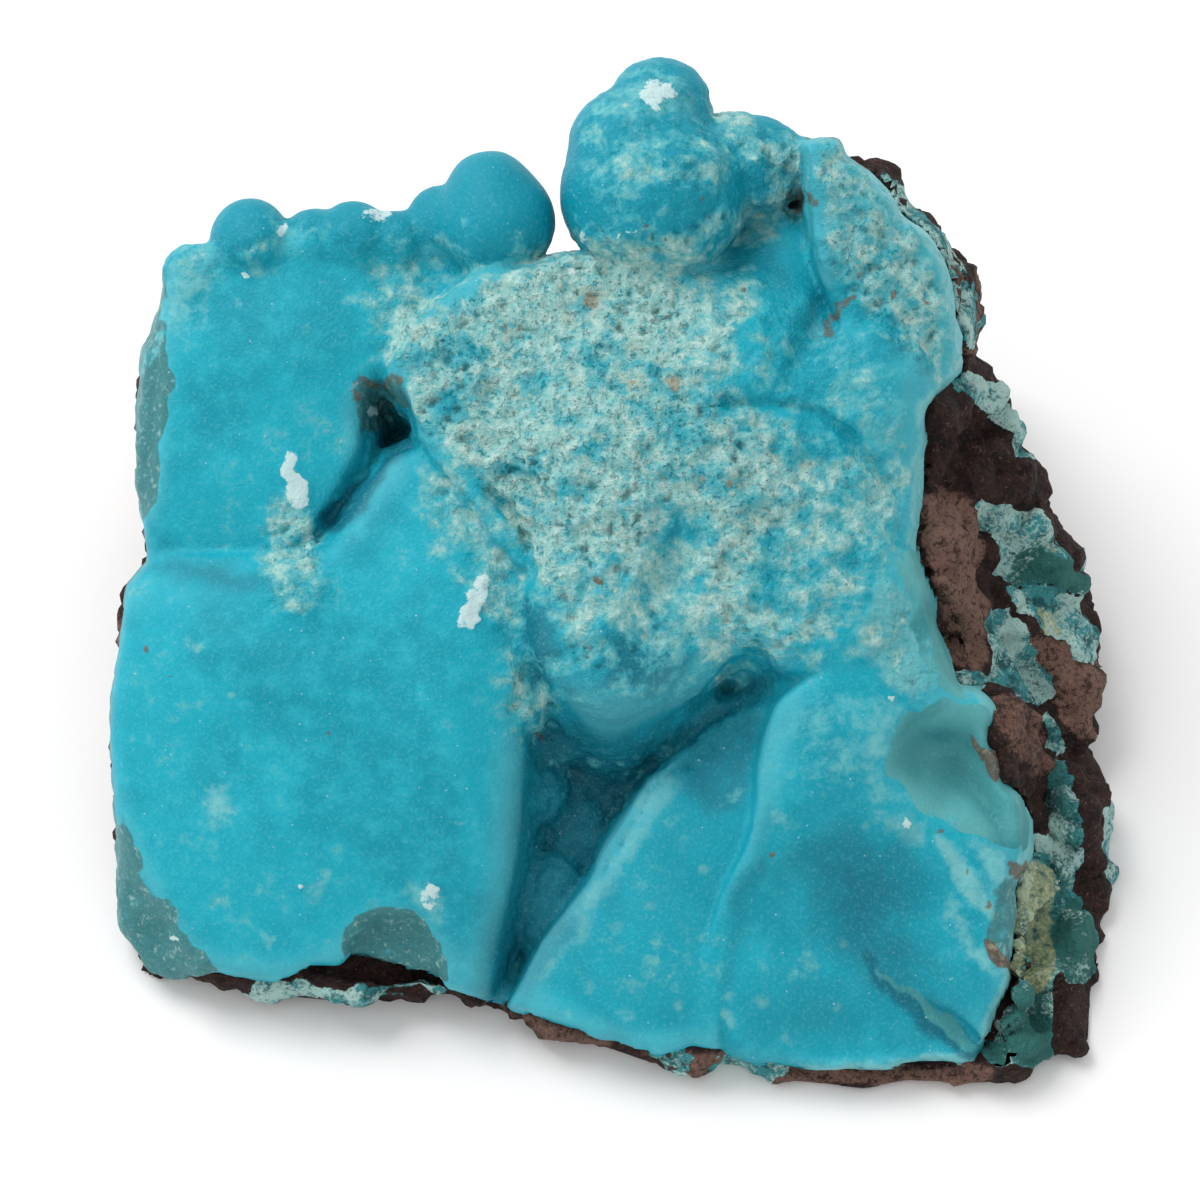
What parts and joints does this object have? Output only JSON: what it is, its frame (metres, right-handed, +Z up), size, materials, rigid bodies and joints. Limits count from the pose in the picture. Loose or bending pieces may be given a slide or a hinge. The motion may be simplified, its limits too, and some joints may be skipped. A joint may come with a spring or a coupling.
{
  "type": "smithsonite specimen",
  "caption": "Loose hand specimen of blue-green botryoidal smithsonite: a lumpy crust of shields and small balls on a brown ironstone matrix, flat underneath so it rests on a table",
  "frame": {"origin": "middle of the bounding box on the table under the specimen", "axes": "+Z up, +X across the lumpy face to the viewer's right, +Y from the low front edge to the high broken back"},
  "size_m": [0.0618, 0.0548, 0.0352],
  "materials": {
    "smithsonite": "waxy to pearly, finely drusy blue-green crust with paler pitted areas",
    "ironstone": "rough broken dark brown iron oxide rock with teal bands"
  },
  "bodies": {
    "root": {"smithsonite_crust": "smithsonite", "ironstone_matrix": "ironstone"}
  },
  "joints": []
}
